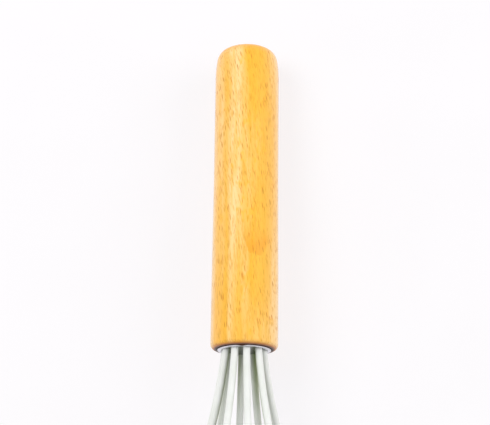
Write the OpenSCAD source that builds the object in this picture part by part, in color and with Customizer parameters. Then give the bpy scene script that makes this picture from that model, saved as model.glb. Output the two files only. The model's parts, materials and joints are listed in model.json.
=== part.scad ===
// Balloon whisk with a turned beech handle, a steel end cap and five silicone-coated wire loops.
// It is drawn as it lies on a table: the handle's dome points to +Y, the balloon to -Y, up is +Z.
// The origin is at the bottom centre of the whole whisk's box.
// Each piece is first drawn on the whisk's own axis: zero at the cap's outer face, the dome at +z.

/* [Handle] */
// Length of the beech handle
handle_len = 144.5; // [120:0.5:160]
// Diameter of the straight stretch at the wire end
grip_d = 30; // [28:0.5:36]
// Diameter of the slimmer stretch below the dome
upper_d = 29.5; // [25:0.5:34]
// Length of the straight stretch at the wire end, edge rounding included
straight_len = 26.5; // [16:0.5:40]
// Length of the taper above the straight stretch
taper_len = 48.5; // [30:0.5:80]
// Radius of the dome's crown
crown_r = 25; // [20:0.5:30]
// Radius of the dome's shoulder
shoulder_r = 6.2; // [5:0.1:9]
// Radius of the long curve that leads from the shoulder into the upper stretch
blend_r = 66; // [40:1:120]
// Radius of the rounded edge at the wire end
edge_r = 2.3; // [1:0.1:3.5]
// Bevel round the mouth of the bore
mouth_bevel = 0.4; // [0.1:0.05:0.6]

/* [Bore and potting] */
// Diameter of the deeper bore that the resin fills
potting_d = 20; // [19.5:0.1:21.5]
// Depth of the resin behind the anchor block
potting_len = 16; // [13:0.5:30]

/* [End cap] */
// Outer diameter of the drawn steel cup
cap_d = 24.2; // [23.6:0.1:24.4]
// Length of the cup's skirt, face included
cap_len = 8; // [6:0.5:14]
// Sheet thickness of the cup
cap_sheet = 0.6; // [0.4:0.05:0.8]
// Outer radius of the cup's drawn corner
cap_corner_r = 1; // [0.9:0.05:1.4]
// How far the cup's face stands out of the wood
cap_proud = 0.7; // [0.2:0.1:1.5]

/* [Strands] */
// Diameter of a strand over its silicone coat
strand_d = 3.2; // [2.4:0.1:3.4]
// Diameter of the steel wire inside
core_d = 1.8; // [1.2:0.1:2]
// Radius of the ring on which the strands pass the cap's face
ring_r = 8.7; // [8.4:0.1:9]
// Radius of the bend that locks each wire's tail in the resin
hook_r = 1.8; // [1.4:0.1:2]
// Length of a wire's straight tail behind the cap's face
tail_len = 15; // [10:0.5:19]
// Straight length of coat behind the cap's face
coat_tail_len = 7; // [3:0.5:7.4]

/* [Balloon] */
// Radius of the balloon at its widest, to the strands' centre lines
balloon_r = 32; // [28:0.5:38]
// Radius of each strand's belly, above and below the widest place
belly_r = 90; // [70:1:130]
// How far the innermost loop's tip lies past a half circle
tip_reach = 5.6; // [2:0.1:12]
// Angle to the axis at which the strands leave the cap
splay = 6.3; // [4:0.1:8]
// Steepest angle to the axis, where the flare turns into the belly
flare = 22; // [16:0.5:24]

/* [Clearances] */
// Gap on each side between the cup's skirt and the wood
press_gap = 0.02; // [0.01:0.01:0.05]
// Gap on each side between the anchor block and the cup
block_gap = 0.05; // [0.02:0.01:0.1]
// Gap round a strand in the cap's holes
hole_gap = 0.15; // [0.1:0.05:0.25]
// Gap round a strand in the anchor block's bores
grip_gap = 0.03; // [0.02:0.01:0.08]
// Gap between a wire and its coat
coat_gap = 0.03; // [0.02:0.01:0.05]
// Gap that the resin keeps to the wood and to the wires
cast_gap = 0.02; // [0.01:0.01:0.05]
// Gap between the loops where they cross at the tip
nest_gap = 0.12; // [0.1:0.02:0.4]

/* [Hidden] */

// Colours as the photograph shows them, and for the hidden pieces as such pieces are made
beech = [0.96, 0.74, 0.36];
steel = [0.78, 0.79, 0.82];
nylon = [0.16, 0.17, 0.17];
resin = [0.86, 0.72, 0.42];
silicone = [0.93, 0.94, 0.89];

// Facets of round shapes and of long arcs when shown as a mesh
round_fn = 64;
arc_fn = 180;
// Steps of the handle's arcs and of the cup's corner
arc_steps = 12;

// Most that the runs of one tube lap, every other run a hair thinner, so that they fuse to one solid
fuse_lap = 0.3;
fuse_step = 0.01;
// Overrun of cuts
cut_over = 1;

// Half the loops' pitch apart, ten strands leave the cap
loops = 5;
loop_pitch = 180 / loops;
// How far each hand-set loop is turned off the even pitch, in degrees
loop_skew = [-0.6, 0.4, -0.4, 2.5, 1.7];
// The second and third loops straddle the lowest line of the balloon, on which the whisk rests
rest_pair = [1, 2];
// How far the hook at the end of a tail turns, in degrees
hook_turn = 95;
// Normal of the shoulder where the blend takes over, in degrees off the axis
shoulder_turn = 81.7;

// Handle: places along the axis and the dome's three arcs
grip_r = grip_d / 2;
upper_r = upper_d / 2;
handle_top = cap_proud + handle_len;
straight_top = cap_proud + straight_len;
taper_top = straight_top + taper_len;
crown_turn = asin((upper_r - blend_r * (1 - sin(shoulder_turn)) - shoulder_r * sin(shoulder_turn))
    / (crown_r - shoulder_r));
crown_c = [0, handle_top - crown_r];
shoulder_c = crown_c + (crown_r - shoulder_r) * [sin(crown_turn), cos(crown_turn)];
blend_c = shoulder_c + (shoulder_r - blend_r) * [sin(shoulder_turn), cos(shoulder_turn)];

// Cup, block and bores
cap_r = cap_d / 2;
cap_bore_r = cap_r + press_gap;
block_r = cap_r - cap_sheet - block_gap;
potting_r = potting_d / 2;
bore_top = cap_len + potting_len;

// Strands: radii, and the flare that joins the splayed tail to the belly
strand_r = strand_d / 2;
core_r = core_d / 2;
coat_bore_r = core_r + coat_gap;
hole_r = strand_r + hole_gap;
grip_bore_r = strand_r + grip_gap;
flare_r = (balloon_r - ring_r - belly_r * (1 - cos(flare))) / (cos(splay) - cos(flare));
flare_c = [ring_r + flare_r * cos(splay), flare_r * sin(splay)];
widest_drop = belly_r * sin(flare) + flare_r * (sin(flare) - sin(splay));
belly_c = [balloon_r - belly_r, -widest_drop];
// The loops' tips are stacked, the first loop outermost
nest_pitch = strand_d + nest_gap;

function loop_turn(k) = (k - (rest_pair[0] + rest_pair[1]) / 2) * loop_pitch
    + loop_skew[k] - (loop_skew[rest_pair[0]] + loop_skew[rest_pair[1]]) / 2;
function tip_drop(k) = balloon_r + tip_reach + (loops - 1 - k) * nest_pitch;
// Radius of the tip's arc, tangent to both bellies and centred on the axis
function tip_r(k) = let (side = belly_r - balloon_r, down = belly_r - tip_drop(k))
    belly_r - (side * side + down * down) / (2 * down);
function tip_turn(k) = acos((belly_r - balloon_r) / (belly_r - tip_r(k)));
function tip_c(k) = [0, -widest_drop - tip_drop(k) + tip_r(k)];

// Rest pose: the tilt at which the dome's blend and the two lowest strands touch the table together
rest_half = (loop_turn(rest_pair[1]) - loop_turn(rest_pair[0])) / 2;
function belly_reach(tilt) = sqrt(pow(cos(rest_half) * cos(tilt), 2) + pow(sin(tilt), 2));
function balloon_height(tilt) = belly_c[0] * cos(rest_half) * cos(tilt) + belly_c[1] * sin(tilt)
    + belly_r * belly_reach(tilt) + strand_r;
function next_tilt(tilt) = asin((belly_c[0] * cos(rest_half) * cos(tilt) + belly_r * belly_reach(tilt)
    + strand_r - blend_c[0] * cos(tilt) - blend_r) / (blend_c[1] - belly_c[1]));
function settled(tilt, left) = left == 0 ? tilt : settled(next_tilt(tilt), left - 1);
rest_tilt = settled(0, 12);
rest_height = balloon_height(rest_tilt);

// Ends of the tilted whisk along Y, which centre it on the origin
dome_reach = crown_c[1] * cos(rest_tilt) + crown_r;
tip_lean = sqrt(pow(cos(loop_turn(0)) * sin(rest_tilt), 2) + pow(cos(rest_tilt), 2));
tip_reach_y = -tip_c(0)[1] * cos(rest_tilt) + tip_r(0) * tip_lean + strand_r;
rest_y = (tip_reach_y - dome_reach) / 2;

function arc_points(centre, radius, from, to) =
    [for (i = [0:arc_steps]) let (turn = from + (to - from) * i / arc_steps)
        centre + radius * [cos(turn), sin(turn)]];

// From the whisk's own axis to the place where it lies
module at_rest() {
    translate([0, rest_y, rest_height])
        rotate([-90 - rest_tilt, 0, 0])
            children();
}

// To the plane of loop k: its x runs out from the axis
module in_loop(k) {
    rotate([0, 0, loop_turn(k) - 90])
        children();
}

// Cross-section of a tube, or of a rod where the inner radius is zero
module tube_section(outer, inner) {
    difference() {
        circle(outer, $fn = round_fn);
        if (inner > 0)
            circle(inner, $fn = round_fn);
    }
}

// Part of a ring in the x-z plane, swept between two angles, and lapped where asked at its ends
module arc_run(centre, radius, from, to, lap_from, lap_to, outer, inner) {
    // A tight bend laps less, so that it stays inside the run that it joins
    lap_turn = min(fuse_lap, sqrt(radius * fuse_step)) * 180 / (PI * radius);
    start_turn = lap_from ? from - lap_turn : from;
    end_turn = lap_to ? to + lap_turn : to;
    translate([centre[0], 0, centre[1]])
        rotate([90, 0, 0])
            rotate([0, 0, start_turn])
                rotate_extrude(angle = end_turn - start_turn, $fn = arc_fn)
                    translate([radius, 0])
                        tube_section(outer, inner);
}

// Tail, flare and belly of one strand
module strand_run(k, outer, inner, tail) {
    thin_inner = inner > 0 ? inner + fuse_step : 0;
    translate([ring_r, 0, 0])
        rotate([0, -splay, 0])
            linear_extrude(tail)
                tube_section(outer, inner);
    arc_run(flare_c, flare_r, 180 + splay, 180 + flare, true, true, outer - fuse_step, thin_inner);
    arc_run(belly_c, belly_r, -tip_turn(k), flare, false, false, outer, inner);
}

// Hook at the end of a wire's tail, turned outwards
module tail_hook(radius) {
    hook_c = [ring_r - tail_len * sin(splay), tail_len * cos(splay)] + hook_r * [cos(splay), sin(splay)];
    arc_run(hook_c, hook_r, 180 + splay - hook_turn, 180 + splay, false, true, radius - fuse_step, 0);
}

// Both strands of loop k and the arc that joins them at the tip
module loop_run(k, outer, inner, tail) {
    strand_run(k, outer, inner, tail);
    mirror([1, 0, 0])
        strand_run(k, outer, inner, tail);
    arc_run(tip_c(k), tip_r(k), tip_turn(k) - 180, -tip_turn(k), true, true,
        outer - fuse_step, inner > 0 ? inner + fuse_step : 0);
}

// What a strand passes through, on both sides of every loop
module on_strands() {
    for (k = [0:loops - 1])
        in_loop(k)
            for (side = [0, 1])
                mirror([side, 0, 0])
                    translate([ring_r, 0, 0])
                        rotate([0, -splay, 0])
                            children();
}

module handle() {
    half_profile = concat(
        [[0, cap_proud], [grip_r - edge_r, cap_proud]],
        arc_points([grip_r - edge_r, cap_proud + edge_r], edge_r, -90, 0),
        [[grip_r, straight_top], [upper_r, taper_top]],
        arc_points(blend_c, blend_r, 0, 90 - shoulder_turn),
        arc_points(shoulder_c, shoulder_r, 90 - shoulder_turn, 90 - crown_turn),
        arc_points(crown_c, crown_r, 90 - crown_turn, 90),
    );
    color(beech)
        at_rest()
            difference() {
                rotate_extrude($fn = arc_fn)
                    polygon(half_profile);
                translate([0, 0, cap_proud - cut_over])
                    cylinder(h = cap_len - cap_proud + cut_over, r = cap_bore_r, $fn = arc_fn);
                cylinder(h = bore_top, r = potting_r, $fn = arc_fn);
                translate([0, 0, cap_proud])
                    cylinder(h = mouth_bevel, r1 = cap_bore_r + mouth_bevel, r2 = cap_bore_r, $fn = arc_fn);
            }
}

module end_cap() {
    bend_r = cap_corner_r - cap_sheet;
    corner_c = [cap_r - cap_corner_r, cap_corner_r];
    wall = concat(
        [[0, 0]],
        arc_points(corner_c, cap_corner_r, -90, 0),
        [[cap_r, cap_len], [cap_r - cap_sheet, cap_len]],
        arc_points(corner_c, bend_r, 0, -90),
        [[0, cap_sheet]],
    );
    color(steel)
        at_rest()
            difference() {
                rotate_extrude($fn = arc_fn)
                    polygon(wall);
                on_strands()
                    translate([0, 0, -cut_over])
                        cylinder(h = cap_sheet + 2 * cut_over, r = hole_r, $fn = round_fn);
            }
}

module anchor_block() {
    bend_r = cap_corner_r - cap_sheet;
    outline = concat(
        [[0, cap_sheet]],
        arc_points([block_r - bend_r, cap_sheet + bend_r], bend_r, -90, 0),
        [[block_r, cap_len], [0, cap_len]],
    );
    color(nylon)
        at_rest()
            difference() {
                rotate_extrude($fn = arc_fn)
                    polygon(outline);
                on_strands()
                    translate([0, 0, -cut_over])
                        cylinder(h = cap_len + 2 * cut_over, r = grip_bore_r, $fn = round_fn);
            }
}

module epoxy_potting() {
    color(resin)
        at_rest()
            difference() {
                translate([0, 0, cap_len])
                    cylinder(h = potting_len, r = potting_r - cast_gap, $fn = arc_fn);
                for (k = [0:loops - 1])
                    in_loop(k)
                        for (side = [0, 1])
                            mirror([side, 0, 0]) {
                                translate([ring_r, 0, 0])
                                    rotate([0, -splay, 0])
                                        cylinder(h = tail_len, r = core_r + cast_gap, $fn = round_fn);
                                tail_hook(core_r + cast_gap);
                            }
            }
}

module wire_core(k) {
    color(steel)
        at_rest()
            in_loop(k) {
                loop_run(k, core_r, 0, tail_len);
                for (side = [0, 1])
                    mirror([side, 0, 0])
                        tail_hook(core_r);
            }
}

module silicone_coat(k) {
    color(silicone)
        at_rest()
            in_loop(k)
                loop_run(k, strand_r, coat_bore_r, coat_tail_len);
}

handle();
end_cap();
anchor_block();
epoxy_potting();
wire_core(0);  // wire_core_1
wire_core(1);  // wire_core_2
wire_core(2);  // wire_core_3
wire_core(3);  // wire_core_4
wire_core(4);  // wire_core_5
silicone_coat(0);  // silicone_coat_1
silicone_coat(1);  // silicone_coat_2
silicone_coat(2);  // silicone_coat_3
silicone_coat(3);  // silicone_coat_4
silicone_coat(4);  // silicone_coat_5
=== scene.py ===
"""Looks of a balloon whisk: turned beech handle, pressed steel end cap, silicone-coated wire loops.

The pieces are drawn on the whisk's own axis, in millimetres: zero at the cap's outer face, the handle's
dome at +z. PLACE lays them on the table in the row frame, in metres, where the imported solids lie.
"""

import json
from math import acos, asin, atan2, cos, pi, radians, sin, sqrt

import bmesh
import bpy
from mathutils import Euler, Matrix, Vector, noise


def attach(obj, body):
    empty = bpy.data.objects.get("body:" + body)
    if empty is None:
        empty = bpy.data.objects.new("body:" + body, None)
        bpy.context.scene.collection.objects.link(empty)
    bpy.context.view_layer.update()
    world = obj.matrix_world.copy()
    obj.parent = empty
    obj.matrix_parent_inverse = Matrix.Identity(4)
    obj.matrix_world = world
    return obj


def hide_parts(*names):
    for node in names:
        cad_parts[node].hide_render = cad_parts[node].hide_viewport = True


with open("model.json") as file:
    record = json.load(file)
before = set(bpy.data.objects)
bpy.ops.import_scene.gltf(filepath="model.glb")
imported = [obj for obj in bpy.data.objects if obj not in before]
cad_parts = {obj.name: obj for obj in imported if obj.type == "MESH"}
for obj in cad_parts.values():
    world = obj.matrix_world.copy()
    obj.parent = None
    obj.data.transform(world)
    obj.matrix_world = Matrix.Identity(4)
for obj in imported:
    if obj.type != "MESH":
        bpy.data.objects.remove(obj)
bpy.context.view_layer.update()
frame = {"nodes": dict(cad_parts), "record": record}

MM = 0.001
BODY = "root"

# Handle, in millimetres, as in the CAD model
HANDLE_LEN = 144.5
GRIP_R = 15.0
UPPER_R = 14.75
STRAIGHT_LEN = 26.5
TAPER_LEN = 48.5
CROWN_R = 25.0
SHOULDER_R = 6.2
BLEND_R = 66.0
SHOULDER_TURN = radians(81.7)
EDGE_R = 2.3
MOUTH_BEVEL = 0.4
POTTING_R = 10.0
POTTING_LEN = 16.0

# End cap
CAP_R = 12.1
CAP_LEN = 8.0
CAP_SHEET = 0.6
CAP_CORNER_R = 1.0
CAP_PROUD = 0.7
PRESS_GAP = 0.02

# Strands and loops
STRAND_R = 1.6
COAT_BORE_R = 0.93
HOLE_R = 1.75
RING_R = 8.7
COAT_TAIL_LEN = 7.0
BALLOON_R = 32.0
BELLY_R = 90.0
TIP_REACH = 5.6
NEST_PITCH = 3.32
SPLAY = radians(6.3)
FLARE = radians(22.0)
LOOPS = 5
LOOP_SKEW = (-0.6, 0.4, -0.4, 2.5, 1.7)

# A dipped coat is up to this much thinner here and there, in about this many swells to a millimetre
COAT_WOBBLE = 0.02
COAT_SWELLS = 0.09
# The cup's hidden rim has its edges broken by so much, and its holes flare by so much at the face
CAP_LIP = 0.12
HOLE_FLARE = 0.1

# How finely the pieces are drawn: sides round them, and about so many millimetres to a step along them.
# On a loop's arc a step is no more than about a share of the arc's radius
HANDLE_SIDES = 180
CAP_SIDES = 144
HOLE_SIDES = 48
COAT_SIDES = 28
LINE_STEP = 3.0
LOOP_STEP = 1.5
LOOP_STEP_SHARE = 0.05
LOOP_TAIL_STEPS = 6
# Edges sharper than these stay crisp where the rest is shaded smooth
CRISP_OVER = radians(40)
CAP_CRISP_OVER = radians(30)
# A point nearer to the axis than this lies on it
ON_AXIS = 1e-6

# Where the long stripes of the handle's grain lie on its upper side, to the right of its middle.
# The pale one is partly a painted highlight
THIN_STRIPE_AT = -5.0
PALE_HIGHLIGHT_STRIPE_AT = -2.9
DEEP_STRIPE_AT = 9.0
# The deep stripe swells and fades once in this length, and starts at the cap's face so many radians late
STRIPE_SWELL = 85.0
STRIPE_SWELL_START = 1.6
# A short patch of deeper figure: its lower end along the axis, and its middle across
PATCH_AT = 40.2
PATCH_ACROSS = 7.0
# The mean of the ripple that the grain gives the patch's edges
PATCH_RIPPLE = 4.5
# The dome's open grain starts to darken here along the axis, and is at its darkest so much further
DOME_TINT_FROM = 138.0
DOME_TINT_LEN = 4.5
# The cap's side is darkened with painted shade, for the groove's shadow and the wood it mirrors, from this
# far behind its face onwards
CAP_SEAM_AT = CAP_PROUD * 0.55

# Floor, in metres: the length of its side, and its height, a hair under the whisk
FLOOR_SPAN = 12.0
FLOOR_UNDER = -0.00005
# How much of the shadows the floor shows, and how much light the white surround gives
KEPT_SHADOW = 0.2
TENT_STRENGTH = 0.38

# The whisk's axis in the row frame, from the mount on its straight stretch
mount = frame["record"]["mounts"][0]
MOUNT_AT = CAP_PROUD + (EDGE_R + STRAIGHT_LEN) / 2
axis = Vector(mount["axis"]).normalized()
TILT = atan2(-axis.z, axis.y)
cap_centre = Vector(mount["pos_m"]) - axis * (MOUNT_AT * MM)
PLACE = Matrix.Translation(cap_centre) @ Matrix.Rotation(-pi / 2 - TILT, 4, "X") @ Matrix.Scale(MM, 4)


# Meshes

def shade(mesh, crisp_over):
    """Shades a mesh smooth, apart from its edges that are sharper than an angle."""
    for poly in mesh.polygons:
        poly.use_smooth = True
    mesh.set_sharp_from_angle(angle=crisp_over)


def new_piece(name, bm):
    """Places a mesh drawn on the whisk's axis into the row frame and makes it a smooth-shaded object."""
    bmesh.ops.recalc_face_normals(bm, faces=bm.faces)
    mesh = bpy.data.meshes.new(name)
    bm.to_mesh(mesh)
    bm.free()
    mesh.transform(PLACE)
    shade(mesh, CRISP_OVER)
    obj = bpy.data.objects.new(name, mesh)
    bpy.context.scene.collection.objects.link(obj)
    return obj


def arc_points(centre, radius, start, end, steps):
    """Points of an arc in the r-z plane, from one angle to another, both ends included."""
    out = []
    for i in range(steps + 1):
        turn = start + (end - start) * i / steps
        out.append((centre[0] + radius * cos(turn), centre[1] + radius * sin(turn)))
    return out


def line_points(a, b, step):
    """Points of a line from a to b without its ends, about a step apart."""
    span = sqrt((b[0] - a[0]) ** 2 + (b[1] - a[1]) ** 2)
    count = max(1, round(span / step))
    return [(a[0] + (b[0] - a[0]) * i / count, a[1] + (b[1] - a[1]) * i / count) for i in range(1, count)]


def bridge(bm, low, high):
    """Joins two rings of points with faces, all the way round. A ring may be a single point."""
    sides = max(len(low), len(high))
    if sides == 1:
        return
    for k in range(sides):
        n = (k + 1) % sides
        if len(low) == 1:
            bm.faces.new((low[0], high[k], high[n]))
        elif len(high) == 1:
            bm.faces.new((low[k], high[0], low[n]))
        else:
            bm.faces.new((low[k], high[k], high[n], low[n]))


def revolve(profile, segments):
    """Turns a profile of (r, z) points round the axis. Points on the axis become single vertices."""
    bm = bmesh.new()
    closed = profile[0] == profile[-1]
    rings = []
    for r, z in profile[:-1] if closed else profile:
        if r < ON_AXIS:
            rings.append([bm.verts.new((0, 0, z))])
        else:
            rings.append([
                bm.verts.new((r * cos(2 * pi * k / segments), r * sin(2 * pi * k / segments), z))
                for k in range(segments)
            ])
    if closed:
        rings.append(rings[0])
    for low, high in zip(rings, rings[1:]):
        bridge(bm, low, high)
    return bm


def handle_profile():
    """The beech handle's section: its end face, outside and dome, then the two-stage bore."""
    top = CAP_PROUD + HANDLE_LEN
    straight_top = CAP_PROUD + STRAIGHT_LEN
    taper_top = straight_top + TAPER_LEN
    out = CROWN_R - SHOULDER_R
    crown_turn = asin((UPPER_R - BLEND_R * (1 - sin(SHOULDER_TURN)) - SHOULDER_R * sin(SHOULDER_TURN)) / out)
    crown_c = (0, top - CROWN_R)
    shoulder_c = (out * sin(crown_turn), crown_c[1] + out * cos(crown_turn))
    inward = SHOULDER_R - BLEND_R
    blend_c = (shoulder_c[0] + inward * sin(SHOULDER_TURN), shoulder_c[1] + inward * cos(SHOULDER_TURN))
    edge_c = (GRIP_R - EDGE_R, CAP_PROUD + EDGE_R)
    mouth_r = CAP_R + PRESS_GAP
    bore_top = CAP_LEN + POTTING_LEN

    pts = [(mouth_r + MOUTH_BEVEL, CAP_PROUD)] + arc_points(edge_c, EDGE_R, -pi / 2, 0, 16)
    corners = [(GRIP_R, edge_c[1]), (GRIP_R, straight_top), (UPPER_R, taper_top), (UPPER_R, blend_c[1])]
    for a, b in zip(corners, corners[1:]):
        pts += line_points(a, b, LINE_STEP) + [b]
    pts.pop()
    pts += arc_points(blend_c, BLEND_R, 0, pi / 2 - SHOULDER_TURN, 8)[:-1]
    pts += arc_points(shoulder_c, SHOULDER_R, pi / 2 - SHOULDER_TURN, pi / 2 - crown_turn, 24)[:-1]
    pts += arc_points(crown_c, CROWN_R, pi / 2 - crown_turn, pi / 2, 20)[:-1]
    pts += [(0, top), (0, bore_top), (POTTING_R, bore_top), (POTTING_R, CAP_LEN), (mouth_r, CAP_LEN)]
    pts += [(mouth_r, CAP_PROUD + MOUTH_BEVEL), pts[0]]
    return pts


def loop_turn(k):
    """Angle of loop k's plane from straight up, about the whisk's axis, towards +X."""
    even = (k - 1.5) * pi / LOOPS
    return even + radians(LOOP_SKEW[k] - (LOOP_SKEW[1] + LOOP_SKEW[2]) / 2)


def in_loop(k, u, v=0.0, z=0.0):
    """A point of loop k's plane: u out from the axis, v square to the plane."""
    turn = loop_turn(k) - pi / 2
    return Vector((u * cos(turn) - v * sin(turn), u * sin(turn) + v * cos(turn), z))


def loop_path(k, tail):
    """Centre line of loop k in its plane, as (u, z, du, dz), from one tail's end to the other's."""
    flare_r = (BALLOON_R - RING_R - BELLY_R * (1 - cos(FLARE))) / (cos(SPLAY) - cos(FLARE))
    flare_c = (RING_R + flare_r * cos(SPLAY), flare_r * sin(SPLAY))
    widest = BELLY_R * sin(FLARE) + flare_r * (sin(FLARE) - sin(SPLAY))
    belly_c = (BALLOON_R - BELLY_R, -widest)
    drop = BALLOON_R + TIP_REACH + (LOOPS - 1 - k) * NEST_PITCH
    side, down = BELLY_R - BALLOON_R, BELLY_R - drop
    tip_r = BELLY_R - (side * side + down * down) / (2 * down)
    tip_turn = acos(side / (BELLY_R - tip_r))
    tip_c = (0, -widest - drop + tip_r)

    half = []

    def arc(centre, radius, start, end, heading):
        """One arc's points; heading turns the radius into the direction of travel."""
        step = min(LOOP_STEP, radius * LOOP_STEP_SHARE)
        count = max(4, round(abs(end - start) * radius / step))
        for i in range(count + 1):
            turn = start + (end - start) * i / count
            half.append((centre[0] + radius * cos(turn), centre[1] + radius * sin(turn),
                         cos(turn + heading), sin(turn + heading)))

    for i in range(LOOP_TAIL_STEPS):
        back = tail * (1 - i / LOOP_TAIL_STEPS)
        half.append((RING_R - back * sin(SPLAY), back * cos(SPLAY), sin(SPLAY), -cos(SPLAY)))
    arc(flare_c, flare_r, pi + SPLAY, pi + FLARE, pi / 2)
    half.pop()
    arc(belly_c, BELLY_R, FLARE, -tip_turn, -pi / 2)
    half.pop()
    arc(tip_c, tip_r, -tip_turn, -pi / 2, -pi / 2)
    other = [(-u, z, du, -dz) for u, z, du, dz in reversed(half[:-1])]
    return half + other


def tube(bm, path, k, radius, sides, wobble, seed):
    """Rings of a tube along loop k's path; wobble thins it here and there, as a dipped coat is."""
    rings = []
    run = 0.0
    last = None
    for u, z, du, dz in path:
        here = in_loop(k, u, 0, z)
        if last is not None:
            run += (here - last).length
        last = here
        out = in_loop(k, dz, 0, -du).normalized()
        across = in_loop(k, 0, 1)
        ring = []
        for s in range(sides):
            turn = 2 * pi * s / sides
            swell = noise.noise(Vector((run * COAT_SWELLS, seed, cos(turn) * 0.4)))
            thin = wobble * (0.5 + 0.5 * swell)
            ring.append(bm.verts.new(here + (out * cos(turn) + across * sin(turn)) * (radius - thin)))
        rings.append(ring)
    for a, b in zip(rings, rings[1:]):
        bridge(bm, a, b)
    return rings


def silicone_coat(k):
    """The coat of loop k: a tube with the wire's bore in it, open and cut square at both ends."""
    bm = bmesh.new()
    path = loop_path(k, COAT_TAIL_LEN)
    outer = tube(bm, path, k, STRAND_R, COAT_SIDES, COAT_WOBBLE, 7.3 * k)
    inner = tube(bm, path, k, COAT_BORE_R, COAT_SIDES, 0.0, 0.0)
    bridge(bm, outer[0], inner[0])
    bridge(bm, inner[-1], outer[-1])
    return new_piece(f"silicone_sleeve_{k + 1}", bm)


def cap_shell():
    """The pressed cup, with a soft drawn corner, before its holes are punched."""
    corner_c = (CAP_R - CAP_CORNER_R, CAP_CORNER_R)
    pts = [(0, 0)] + arc_points(corner_c, CAP_CORNER_R, -pi / 2, 0, 14)
    pts += [(CAP_R, CAP_LEN - CAP_LIP), (CAP_R - CAP_LIP, CAP_LEN)]
    pts += [(CAP_R - CAP_SHEET + CAP_LIP, CAP_LEN), (CAP_R - CAP_SHEET, CAP_LEN - CAP_LIP)]
    pts += arc_points(corner_c, CAP_CORNER_R - CAP_SHEET, 0, -pi / 2, 8)
    pts += [(0, CAP_SHEET)]
    return revolve(pts, CAP_SIDES)


def punch():
    """Ten cutters for the strands' holes, flared towards the face as a punched and brushed hole is."""
    bm = bmesh.new()
    round_turns = [2 * pi * s / HOLE_SIDES for s in range(HOLE_SIDES)]
    for k in range(LOOPS):
        for side in (1, -1):
            axis_dir = in_loop(k, -side * sin(SPLAY), 0, cos(SPLAY))
            out = in_loop(k, side * cos(SPLAY), 0, sin(SPLAY))
            across = out.cross(axis_dir)
            root = in_loop(k, side * RING_R)
            # How far along the cutter each ring lies, and how much wider than the hole it is
            stations = [(-1.0, 0.26), (0.02, HOLE_FLARE), (0.06, 0.05), (0.13, 0.015)]
            stations += [(0.22, 0.0), (1.6, 0.0)]
            rings = []
            for along, wider in stations:
                middle = root + axis_dir * along
                rings.append([
                    bm.verts.new(middle + (out * cos(t) + across * sin(t)) * (HOLE_R + wider))
                    for t in round_turns
                ])
            for a, b in zip(rings, rings[1:]):
                bridge(bm, a, b)
            bm.faces.new(list(reversed(rings[0])))
            bm.faces.new(rings[-1])
    return bm


def end_cap():
    """The drawn steel cup with its ten punched holes."""
    shell = new_piece("pressed_end_cap", cap_shell())
    cutter = new_piece("cap_cutter", punch())
    cut = shell.modifiers.new("holes", "BOOLEAN")
    cut.operation = "DIFFERENCE"
    cut.solver = "EXACT"
    cut.object = cutter
    bpy.context.view_layer.update()
    dg = bpy.context.evaluated_depsgraph_get()
    mesh = bpy.data.meshes.new_from_object(shell.evaluated_get(dg))
    mesh.name = "pressed_end_cap"
    shell.modifiers.clear()
    old = shell.data
    shell.data = mesh
    bpy.data.meshes.remove(old)
    bpy.data.objects.remove(cutter)
    shade(mesh, CAP_CRISP_OVER)
    return shell


# Materials

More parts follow.
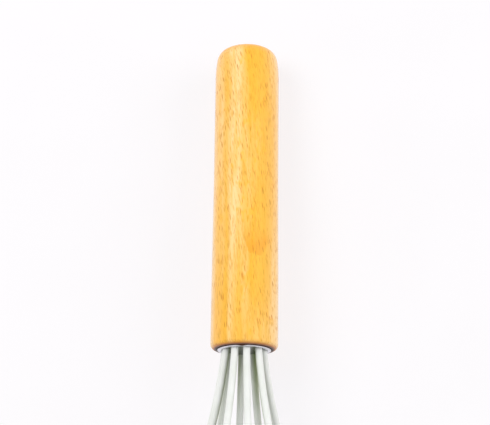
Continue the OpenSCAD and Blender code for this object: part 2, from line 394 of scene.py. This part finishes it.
class Nodes:
    """A material's node tree, with short calls for the nodes that the looks below use."""

    def __init__(self, name):
        self.material = bpy.data.materials.new(name)
        self.material.use_nodes = True
        self.tree = self.material.node_tree
        self.tree.nodes.clear()
        self.output = self.tree.nodes.new("ShaderNodeOutputMaterial")
        self.shader = self.tree.nodes.new("ShaderNodeBsdfPrincipled")
        self.tree.links.new(self.shader.outputs[0], self.output.inputs["Surface"])

    def link(self, value, socket):
        """Joins an output to a socket, or sets the socket when the value is a constant."""
        if isinstance(value, bpy.types.NodeSocket):
            self.tree.links.new(value, socket)
        elif value is not None:
            socket.default_value = value

    def set(self, **sockets):
        """Sets or joins the main shader's sockets, named with underscores for spaces."""
        for name, value in sockets.items():
            self.link(value, self.shader.inputs[name.replace("_", " ")])

    def whisk_space(self):
        """Object coordinates turned onto the whisk's axis, in millimetres."""
        coords = self.tree.nodes.new("ShaderNodeTexCoord")
        mapping = self.tree.nodes.new("ShaderNodeMapping")
        turn = Euler((pi / 2 + TILT, 0, 0))
        mapping.inputs["Location"].default_value = turn.to_matrix() @ (-cap_centre / MM)
        mapping.inputs["Rotation"].default_value = turn
        mapping.inputs["Scale"].default_value = (1 / MM,) * 3
        self.tree.links.new(coords.outputs["Object"], mapping.inputs["Vector"])
        return mapping.outputs[0]

    def facings(self, p):
        """How far the surface faces the whisk's axis, and how far out of its upright middle plane.

        Both run from -1, straight the other way, to 1.
        """
        coords = self.tree.nodes.new("ShaderNodeTexCoord")
        turned = self.tree.nodes.new("ShaderNodeMapping")
        turned.vector_type = "VECTOR"
        turned.inputs["Rotation"].default_value = Euler((pi / 2 + TILT, 0, 0))
        self.tree.links.new(coords.outputs["Normal"], turned.inputs["Vector"])
        x, y, _ = self.split(p)
        dot = self.tree.nodes.new("ShaderNodeVectorMath")
        dot.operation = "DOT_PRODUCT"
        self.tree.links.new(turned.outputs[0], dot.inputs[0])
        self.tree.links.new(self.unit(self.join(x, y, 0.0)), dot.inputs[1])
        to_axis = self.math("MULTIPLY", dot.outputs["Value"], -1.0)
        outward = self.math("MULTIPLY", self.split(turned.outputs[0])[0], self.math("SIGN", x))
        return to_axis, outward

    def unit(self, vector):
        """The vector at a length of 1."""
        node = self.tree.nodes.new("ShaderNodeVectorMath")
        node.operation = "NORMALIZE"
        self.tree.links.new(vector, node.inputs[0])
        return node.outputs[0]

    def stretch(self, vector, scale, offset=(0, 0, 0)):
        """Scales a vector and then moves it."""
        node = self.tree.nodes.new("ShaderNodeMapping")
        node.inputs["Scale"].default_value = scale
        node.inputs["Location"].default_value = offset
        self.tree.links.new(vector, node.inputs["Vector"])
        return node.outputs[0]

    def noise(self, vector, scale=1.0, detail=2.0, rough=0.5, distortion=0.0):
        node = self.tree.nodes.new("ShaderNodeTexNoise")
        node.inputs["Scale"].default_value = scale
        node.inputs["Detail"].default_value = detail
        node.inputs["Roughness"].default_value = rough
        node.inputs["Distortion"].default_value = distortion
        self.tree.links.new(vector, node.inputs["Vector"])
        return node.outputs["Fac"]

    def voronoi(self, vector, scale=1.0):
        node = self.tree.nodes.new("ShaderNodeTexVoronoi")
        node.inputs["Scale"].default_value = scale
        self.tree.links.new(vector, node.inputs["Vector"])
        return node

    def split(self, vector):
        """The three parts of a vector."""
        node = self.tree.nodes.new("ShaderNodeSeparateXYZ")
        self.tree.links.new(vector, node.inputs[0])
        return node.outputs

    def join(self, x, y, z):
        """A vector of three values."""
        node = self.tree.nodes.new("ShaderNodeCombineXYZ")
        for value, socket in zip((x, y, z), node.inputs):
            self.link(value, socket)
        return node.outputs[0]

    def math(self, operation, a, b=None, c=None):
        node = self.tree.nodes.new("ShaderNodeMath")
        node.operation = operation
        for value, socket in zip((a, b, c), node.inputs):
            self.link(value, socket)
        return node.outputs[0]

    def radius(self, x, y):
        """Distance from the whisk's axis."""
        return self.math("SQRT", self.math("ADD", self.math("MULTIPLY", x, x), self.math("MULTIPLY", y, y)))

    def ramp(self, value, low, high, out_low=0.0, out_high=1.0):
        """Smoothly maps low..high to out_low..out_high and holds it outside."""
        node = self.tree.nodes.new("ShaderNodeMapRange")
        node.interpolation_type = "SMOOTHSTEP"
        for item, socket in zip((value, low, high, out_low, out_high), node.inputs):
            self.link(item, socket)
        return node.outputs[0]

    def bell(self, value, centre, half_width):
        """1 at the centre, falling smoothly to 0 at half_width to both sides."""
        away = self.math("ABSOLUTE", self.math("SUBTRACT", value, centre))
        return self.ramp(away, 0.0, half_width, 1.0, 0.0)

    def mix(self, factor, a, b):
        """Mixes two colours."""
        node = self.tree.nodes.new("ShaderNodeMix")
        node.data_type = "RGBA"
        self.link(factor, node.inputs[0])
        self.link(a, node.inputs[6])
        self.link(b, node.inputs[7])
        return node.outputs[2]

    def bump(self, height, distance, strength):
        """The surface's normal, tilted by a height. Distance is what a height of 1 stands for, in metres."""
        node = self.tree.nodes.new("ShaderNodeBump")
        node.inputs["Strength"].default_value = strength
        node.inputs["Distance"].default_value = distance
        self.tree.links.new(height, node.inputs["Height"])
        return node.outputs[0]


def srgb(r, g, b):
    """Blender's linear colour for sRGB values from 0 to 255."""
    def channel(v):
        v /= 255
        return v / 12.92 if v <= 0.04045 else ((v + 0.055) / 1.055) ** 2.4
    return (channel(r), channel(g), channel(b), 1.0)


# The looks' colours, before light and shade. Those for the sage, the gap, the cap's side and face, and
# part of the end grain are painted shade
PALE_BEECH = srgb(254, 214, 144)
DEEP_BEECH = srgb(251, 184, 36)
BAND_BEECH = srgb(250, 184, 38)
BLOTCH_GOLD = srgb(252, 186, 14)
FIBRE_OCHRE = srgb(222, 160, 14)
PATCH_AMBER = srgb(246, 164, 8)
FAINT_FLECK = srgb(222, 156, 0)
OCHRE_FLECK = srgb(192, 122, 0)
AMBER_FLECK = srgb(208, 120, 0)
DOME_TAN = srgb(240, 164, 50)
END_GRAIN_AND_SHADE = srgb(198, 108, 38)
MOUTH_GAP_SHADE = srgb(52, 20, 10)
COAT_WHITE = srgb(232, 234, 230)
COAT_CLOUD = srgb(227, 230, 224)
MIDDLE_SAGE_SHADE = srgb(142, 157, 102)
SIDE_SAGE_SHADE = srgb(108, 125, 50)
CAP_STEEL = srgb(222, 222, 230)
STRAND_SHADE_STEEL = srgb(128, 130, 126)
GROOVE_SHADE_STEEL = srgb(68, 38, 24)
WIRE_STEEL = srgb(205, 206, 210)
NYLON = srgb(48, 50, 50)
NYLON_DARK = srgb(36, 38, 38)
RESIN = srgb(214, 176, 110)
RESIN_DARK = srgb(196, 150, 84)
FLOOR_GREY = srgb(238, 236, 239)
FLOOR_PALE = srgb(242, 240, 243)
FLOOR_SHOWN = srgb(255, 253, 255)
TENT_LIGHT = srgb(250, 250, 252)
TENT_SHOWN = srgb(251, 249, 252)


def beech_material():
    """Oiled beech: streaks and long stripes, one deeper patch, golden blotches and short dark flecks.

    The stripes and the patch are on the handle's upper side only. The flecks lean a little.
    """
    m = Nodes("oiled_beech")
    p = m.whisk_space()
    wander = m.noise(m.stretch(p, (0.03, 0.03, 0.012)), detail=1.0)
    x, y, z = m.split(p)
    shift = m.math("MULTIPLY_ADD", wander, 8.0, -4.0)
    lean = m.math("MULTIPLY_ADD", z, 0.03, shift)
    grain = m.join(m.math("ADD", x, lean), y, z)
    slant = m.math("MULTIPLY_ADD", z, 0.16, shift)
    rays = m.join(m.math("ADD", x, slant), y, z)

    streak = m.noise(m.stretch(grain, (0.13, 0.13, 0.012), (3.1, 1.7, 0.4)), detail=2.0, rough=0.5)
    band = m.noise(m.stretch(grain, (0.4, 0.4, 0.03), (9.0, 4.0, 2.0)), detail=2.0, rough=0.5)
    fibre = m.noise(m.stretch(rays, (1.4, 1.4, 0.12)), detail=4.0, rough=0.65)
    blotch = m.noise(m.stretch(grain, (0.3, 0.3, 0.14), (20.0, 5.0, 11.0)), detail=2.0)

    # A pale stripe, partly grain and partly painted highlight, runs the length of the upper side between
    # a thin deep one and a broad deep one, which swells and fades. Softer streaks lie under them
    place = m.split(grain)[0]
    swell = m.math("SINE", m.math("MULTIPLY_ADD", z, 2 * pi / STRIPE_SWELL, -STRIPE_SWELL_START))
    steady = m.math("MULTIPLY_ADD", shift, 0.5, x)
    # The pale stripe is partly a painted highlight, stronger towards the dome
    pale_and_highlight = m.bell(steady, PALE_HIGHLIGHT_STRIPE_AT, m.ramp(z, 30.0, 120.0, 3.6, 5.2))
    pale_and_highlight = m.math("MULTIPLY", pale_and_highlight, m.ramp(z, 30.0, 120.0, 0.35, 1.25))
    broad = m.math("MULTIPLY", m.bell(place, DEEP_STRIPE_AT, 6.0), m.ramp(swell, -1.0, 1.0, 0.3, 1.2))
    thin = m.math("MULTIPLY", m.bell(place, THIN_STRIPE_AT, 2.5), 0.6)
    stripes = m.math("SUBTRACT", m.math("ADD", broad, thin), pale_and_highlight)
    upper = m.ramp(y, 4.0, -6.0)
    tone = m.math("MULTIPLY_ADD", stripes, upper, m.ramp(streak, 0.3, 0.7))
    colour = m.mix(m.ramp(tone, -0.7, 1.4), PALE_BEECH, DEEP_BEECH)
    colour = m.mix(m.ramp(band, 0.48, 0.66, 0.0, 0.5), colour, BAND_BEECH)
    colour = m.mix(m.ramp(blotch, 0.6, 0.7, 0.0, 0.55), colour, BLOTCH_GOLD)
    colour = m.mix(m.ramp(fibre, 0.46, 0.7, 0.0, 0.6), colour, FIBRE_OCHRE)

    # One patch of deeper figure narrows towards the cap, where it ends clearly; its right side is soft
    ripple = m.math("MULTIPLY_ADD", blotch, 6.0, m.math("MULTIPLY", fibre, 3.0))
    along = m.math("SUBTRACT", m.math("ADD", z, ripple), PATCH_AT + PATCH_RIPPLE)
    across = m.math("SUBTRACT", m.math("MULTIPLY_ADD", ripple, 0.5, x), PATCH_ACROSS + PATCH_RIPPLE / 2)
    half_width = m.ramp(along, 0.0, 9.0, 2.4, 5.0)
    across = m.math("DIVIDE", across, half_width)
    sides = m.math("MULTIPLY", m.ramp(across, -1.1, -0.85), m.ramp(across, 1.4, 0.7))
    ends = m.math("MULTIPLY", m.ramp(along, 0.0, 0.9), m.ramp(along, 15.0, 3.0))
    patch = m.math("MULTIPLY", m.math("MULTIPLY", sides, ends), upper)
    colour = m.mix(m.math("MULTIPLY", patch, 0.9), colour, PATCH_AMBER)

    def flecks(scale, seed, share, reach):
        """Lens-shaped ray flecks: one in some cells, of a size that its cell's own chance sets."""
        cells = m.voronoi(m.stretch(rays, scale, (seed, seed * 0.7, seed * 1.3)))
        chance = m.split(cells.outputs["Color"])[0]
        here = m.ramp(chance, 1 - share, 1.0 - share * 0.3, 0.0, reach)
        near = m.math("DIVIDE", cells.outputs["Distance"], m.math("MAXIMUM", here, 0.001))
        return m.ramp(near, 0.5, 1.0, 1.0, 0.0)

    marks = flecks((1.5, 0.5, 0.17), 3.0, 0.85, 0.35)
    faint = flecks((1.9, 0.75, 0.22), 31.0, 1.15, 0.44)
    tint = m.mix(m.ramp(blotch, 0.35, 0.65), OCHRE_FLECK, AMBER_FLECK)
    colour = m.mix(m.math("MULTIPLY", faint, 0.7), colour, FAINT_FLECK)
    colour = m.mix(m.math("MULTIPLY", marks, 0.8), colour, tint)

    # The ends are open grain: they drink the oil, darken and stay matt. Near the cap the darkening is partly
    # end grain and partly painted shade, and at the bore's mouth it is painted shade in the gap
    dome = m.ramp(z, DOME_TINT_FROM, DOME_TINT_FROM + DOME_TINT_LEN)
    colour = m.mix(m.math("MULTIPLY", dome, 0.6), colour, DOME_TAN)
    radius = m.radius(x, y)
    end_grain_and_shade = m.ramp(z, CAP_PROUD + EDGE_R * 0.02, CAP_PROUD + EDGE_R * 0.5, 1.0, 0.0)
    colour = m.mix(m.math("MULTIPLY", end_grain_and_shade, 0.9), colour, END_GRAIN_AND_SHADE)
    # Painted shade in the gap between the wood and the cap
    low = m.ramp(z, CAP_PROUD + 0.3, CAP_PROUD + 1.0, 1.0, 0.0)
    seam = m.math("MULTIPLY", low, m.ramp(radius, CAP_R + 0.7, CAP_R + 1.9, 1.0, 0.0))
    colour = m.mix(m.math("MULTIPLY", seam, 0.95), colour, MOUTH_GAP_SHADE)

    height = m.math("MULTIPLY_ADD", fibre, 0.35, m.math("MULTIPLY", marks, -0.5))
    gloss = m.math("MULTIPLY", m.math("SUBTRACT", 1.0, end_grain_and_shade), m.ramp(marks, 0.0, 1.0, 1.0, 0.2))
    gloss = m.math("MULTIPLY", gloss, m.ramp(dome, 0.0, 1.0, 1.0, 0.2))
    m.set(
        Base_Color=colour,
        Roughness=m.ramp(fibre, 0.3, 0.7, 0.52, 0.62),
        Normal=m.bump(height, 0.00005, 0.35),
        Coat_Weight=gloss,
        Coat_Roughness=0.2,
        Sheen_Weight=0.35,
        Sheen_Roughness=0.35,
    )
    return m.material


def silicone_material():
    """Silicone, off-white, with painted sage shade near the cap, where the strands shade each other.

    The shade is painted on the sides that face the axis; on the lower strands it leans to their outer sides.
    """
    m = Nodes("sage_white_silicone")
    p = m.whisk_space()
    cloud = m.noise(m.stretch(p, (0.12, 0.12, 0.12)), detail=2.0)
    skin = m.noise(m.stretch(p, (5.0, 5.0, 2.4)), detail=3.0, rough=0.6)
    colour = m.mix(m.ramp(cloud, 0.35, 0.65), COAT_WHITE, COAT_CLOUD)
    x, y, z = m.split(p)
    to_axis, outward = m.facings(p)
    lower = m.ramp(y, -2.0, 4.0)
    leaning = m.math("MULTIPLY_ADD", outward, 0.9, m.math("MULTIPLY", to_axis, -0.65))
    inside = m.ramp(m.math("MULTIPLY_ADD", leaning, lower, to_axis), -0.3, 0.75)
    wide = m.ramp(m.math("ABSOLUTE", x), 4.0, 10.0)
    close = m.ramp(z, m.math("MULTIPLY_ADD", wide, -27.0, -40.0), 1.0)

    # Which strand it is shows in how far it lies to the side, as a share of its way out from the axis.
    # The one at the far right has hardly any painted shade, and on the lower ones at the left it fades
    # sooner
    radius = m.radius(x, y)
    side = m.math("DIVIDE", x, radius)
    left = m.math("MULTIPLY", m.ramp(side, 0.1, -0.15), lower)
    spared = m.math("MULTIPLY", left, m.ramp(z, -28.0, -6.0, 0.65, 0.32))
    spared = m.math("MAXIMUM", spared, m.ramp(side, 0.9, 0.98, 0.0, 0.9))
    shade_amount = m.math("MULTIPLY", m.math("MULTIPLY", inside, close), 0.95)
    shade_amount = m.math("MULTIPLY", shade_amount, m.math("SUBTRACT", 1.0, spared))
    # Painted shade: sage where the strands near the cap shade each other
    painted_shade = m.mix(wide, MIDDLE_SAGE_SHADE, SIDE_SAGE_SHADE)
    colour = m.mix(shade_amount, colour, painted_shade)
    m.set(
        Base_Color=colour,
        Roughness=m.ramp(skin, 0.3, 0.7, 0.36, 0.46),
        Normal=m.bump(skin, 0.00002, 0.25),
        Subsurface_Weight=0.15,
        Subsurface_Radius=(1.0, 1.0, 0.9),
        Subsurface_Scale=0.0006,
    )
    return m.material


def steel_material(name, base, low, high, lines, seam=None):
    """Polished or drawn steel: fine turned lines, about so many to a millimetre, and a little haze.

    The lines take the roughness from low to high. With a seam it is the cap's steel: painted shade darkens
    it from that far behind the face onwards, for the groove's shadow and the wood it mirrors, and painted
    shade and reflection of the strands darken the face between them.
    """
    m = Nodes(name)
    p = m.whisk_space()
    x, y, z = m.split(p)
    radius = m.radius(x, y)
    turned = m.join(m.math("MULTIPLY", radius, lines), m.math("MULTIPLY", z, lines), 0.0)
    rings = m.noise(turned, detail=3.0, rough=0.7)
    haze = m.noise(m.stretch(p, (0.25, 0.25, 0.25)), detail=3.0)
    colour = m.mix(m.ramp(haze, 0.35, 0.7), base, tuple(c * 0.9 for c in base[:3]) + (1.0,))
    if seam is not None:
        # Painted shade and reflection: the face between the strands is darker
        face_shade = m.math("MULTIPLY", m.ramp(z, 0.3, 0.05), m.ramp(radius, RING_R + 2.2, RING_R + 0.8))
        colour = m.mix(m.math("MULTIPLY", face_shade, 0.8), colour, STRAND_SHADE_STEEL)
        # Painted shade of the groove, reaching nearer the face in the middle of the upper side
        wider_shade = m.math("MULTIPLY", m.bell(x, 1.2, 3.0), m.ramp(y, -10.0, -11.0))
        edge = m.math("MULTIPLY_ADD", wider_shade, -0.3, seam)
        colour = m.mix(m.ramp(m.math("SUBTRACT", z, edge), -0.1, 0.1), colour, GROOVE_SHADE_STEEL)
    m.set(
        Base_Color=colour,
        Metallic=1.0,
        Roughness=m.math("ADD", m.ramp(rings, 0.3, 0.7, low, high), m.ramp(haze, 0.4, 0.8, 0.0, 0.08)),
        Normal=m.bump(rings, 0.00001, 0.25),
    )
    return m.material


def moulded_material(name, base, dark, roughness, grain):
    """A moulded or cast plastic with faint flow marks."""
    m = Nodes(name)
    p = m.whisk_space()
    flow = m.noise(m.stretch(p, (grain,) * 3), detail=3.0, distortion=0.6)
    m.set(
        Base_Color=m.mix(m.ramp(flow, 0.35, 0.7), base, dark),
        Roughness=m.ramp(flow, 0.3, 0.7, roughness, roughness + 0.12),
        Normal=m.bump(flow, 0.00003, 0.3),
    )
    return m.material


def dress(obj, material):
    """Gives an object one material in place of what it has."""
    obj.data.materials.clear()
    obj.data.materials.append(material)


# Camera: above the table, a little to the balloon's side and turned about the whisk's axis, so that it
# sees the cap's face as a narrow ellipse
FOCAL_PX = 1500.0
FRAME_PX = 490.0
SENSOR = 36.0
CAMERA_SIDE = radians(10.32)
CAMERA_DOWN = radians(12.98)
CAMERA_LEAN = radians(-0.19)
CAMERA_FAR = 0.6819
AIM = Vector((-0.00029, 0.06775, 0.020))

level = cos(CAMERA_DOWN)
back = Vector((sin(CAMERA_SIDE) * level, -sin(CAMERA_DOWN), cos(CAMERA_SIDE) * level))
flat_right = Vector((cos(CAMERA_SIDE), 0, -sin(CAMERA_SIDE)))
flat_up = back.cross(flat_right)
right = flat_right * cos(CAMERA_LEAN) + flat_up * sin(CAMERA_LEAN)
up = flat_up * cos(CAMERA_LEAN) - flat_right * sin(CAMERA_LEAN)
camera_data = bpy.data.cameras.new("camera")
camera_data.sensor_width = SENSOR
camera_data.lens = FOCAL_PX / FRAME_PX * SENSOR
camera_data.clip_start = 0.01
camera_data.clip_end = 20
camera = bpy.data.objects.new("camera", camera_data)
camera.matrix_world = Matrix.Translation(AIM + back * CAMERA_FAR) @ Matrix((
    (right.x, up.x, back.x, 0), (right.y, up.y, back.y, 0), (right.z, up.z, back.z, 0), (0, 0, 0, 1)))
bpy.context.scene.collection.objects.link(camera)
bpy.context.scene.camera = camera

# Pieces

handle = new_piece("turned_beech_handle", revolve(handle_profile(), HANDLE_SIDES))
dress(handle, beech_material())
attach(handle, BODY)
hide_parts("handle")

cap = end_cap()
dress(cap, steel_material("polished_cap_steel", CAP_STEEL, 0.16, 0.26, lines=9.0, seam=CAP_SEAM_AT))
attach(cap, BODY)
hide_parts("end_cap")

silicone = silicone_material()
for k in range(LOOPS):
    coat = silicone_coat(k)
    dress(coat, silicone)
    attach(coat, BODY)
    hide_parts(f"silicone_coat_{k + 1}")

nodes = frame["nodes"]
wire = steel_material("drawn_spring_wire", WIRE_STEEL, 0.22, 0.34, lines=14.0)
for k in range(LOOPS):
    dress(nodes[f"wire_core_{k + 1}"], wire)
nylon = moulded_material("black_nylon", NYLON, NYLON_DARK, roughness=0.5, grain=0.5)
dress(nodes["anchor_block"], nylon)
resin = moulded_material("amber_resin", RESIN, RESIN_DARK, roughness=0.22, grain=0.3)
dress(nodes["epoxy_potting"], resin)


# Stage and light

def seen_rays(tree):
    """1 for rays that show a surface, straight, mirrored or through glass, and 0 for rays that light."""
    path = tree.nodes.new("ShaderNodeLightPath")
    seen = path.outputs["Is Camera Ray"]
    for kind in ("Is Glossy Ray", "Is Transmission Ray"):
        either = tree.nodes.new("ShaderNodeMath")
        either.operation = "MAXIMUM"
        tree.links.new(seen, either.inputs[0])
        tree.links.new(path.outputs[kind], either.inputs[1])
        seen = either.outputs[0]
    return seen


def stage_material(shown, kept_shadow):
    """A pale floor that shows nearly its own brightness to the camera and keeps part of the shadows."""
    m = Nodes("pale_floor")
    paper = m.noise(m.stretch(m.whisk_space(), (0.02, 0.02, 0.02)), detail=1.0)
    m.set(Base_Color=m.mix(m.ramp(paper, 0.3, 0.7), FLOOR_GREY, FLOOR_PALE), Roughness=0.9)
    glow = m.tree.nodes.new("ShaderNodeEmission")
    glow.inputs["Color"].default_value = shown
    blend = m.tree.nodes.new("ShaderNodeMixShader")
    m.tree.links.new(m.math("MULTIPLY", seen_rays(m.tree), 1 - kept_shadow), blend.inputs[0])
    m.tree.links.new(m.shader.outputs[0], blend.inputs[1])
    m.tree.links.new(glow.outputs[0], blend.inputs[2])
    m.tree.links.new(blend.outputs[0], m.output.inputs["Surface"])
    return m.material


floor_mesh = bpy.data.meshes.new("floor")
signs = ((-1, -1), (1, -1), (1, 1), (-1, 1))
floor_corners = [(x * FLOOR_SPAN / 2, y * FLOOR_SPAN / 2, FLOOR_UNDER) for x, y in signs]
floor_mesh.from_pydata(floor_corners, [], [(0, 1, 2, 3)])
floor = bpy.data.objects.new("floor", floor_mesh)
bpy.context.scene.collection.objects.link(floor)
floor.data.materials.append(stage_material(FLOOR_SHOWN, KEPT_SHADOW))

world = bpy.data.worlds.new("white_tent")
world.use_nodes = True
tree = world.node_tree
tree.nodes.clear()
pick = tree.nodes.new("ShaderNodeMixShader")
tree.links.new(seen_rays(tree), pick.inputs[0])
for socket, colour, strength in ((1, TENT_LIGHT, TENT_STRENGTH), (2, TENT_SHOWN, 1.0)):
    tent = tree.nodes.new("ShaderNodeBackground")
    tent.inputs["Color"].default_value = colour
    tent.inputs["Strength"].default_value = strength
    tree.links.new(tent.outputs[0], pick.inputs[socket])
world_out = tree.nodes.new("ShaderNodeOutputWorld")
tree.links.new(pick.outputs[0], world_out.inputs["Surface"])
bpy.context.scene.world = world


def softbox(name, place, aim, size, watts):
    """A square lamp that faces a point. Glossy surfaces mirror the white surround in its place."""
    lamp = bpy.data.lights.new(name, "AREA")
    lamp.shape = "SQUARE"
    lamp.size = size
    lamp.energy = watts
    obj = bpy.data.objects.new(name, lamp)
    obj.location = place
    obj.visible_glossy = False
    obj.rotation_mode = "QUATERNION"
    obj.rotation_quaternion = (Vector(aim) - Vector(place)).to_track_quat("-Z", "Y")
    bpy.context.scene.collection.objects.link(obj)


softbox("left", place=(-0.55, 0.4, 1.0), aim=(0, 0, 0), size=0.7, watts=8.5)
softbox("right", place=(0.95, 0.3, 0.6), aim=(0, 0, 0), size=0.7, watts=7.5)
softbox("low_left", place=(-1.0, -0.1, 0.3), aim=(0, 0, 0.02), size=0.25, watts=1.3)

bpy.context.scene.view_settings.view_transform = "Standard"
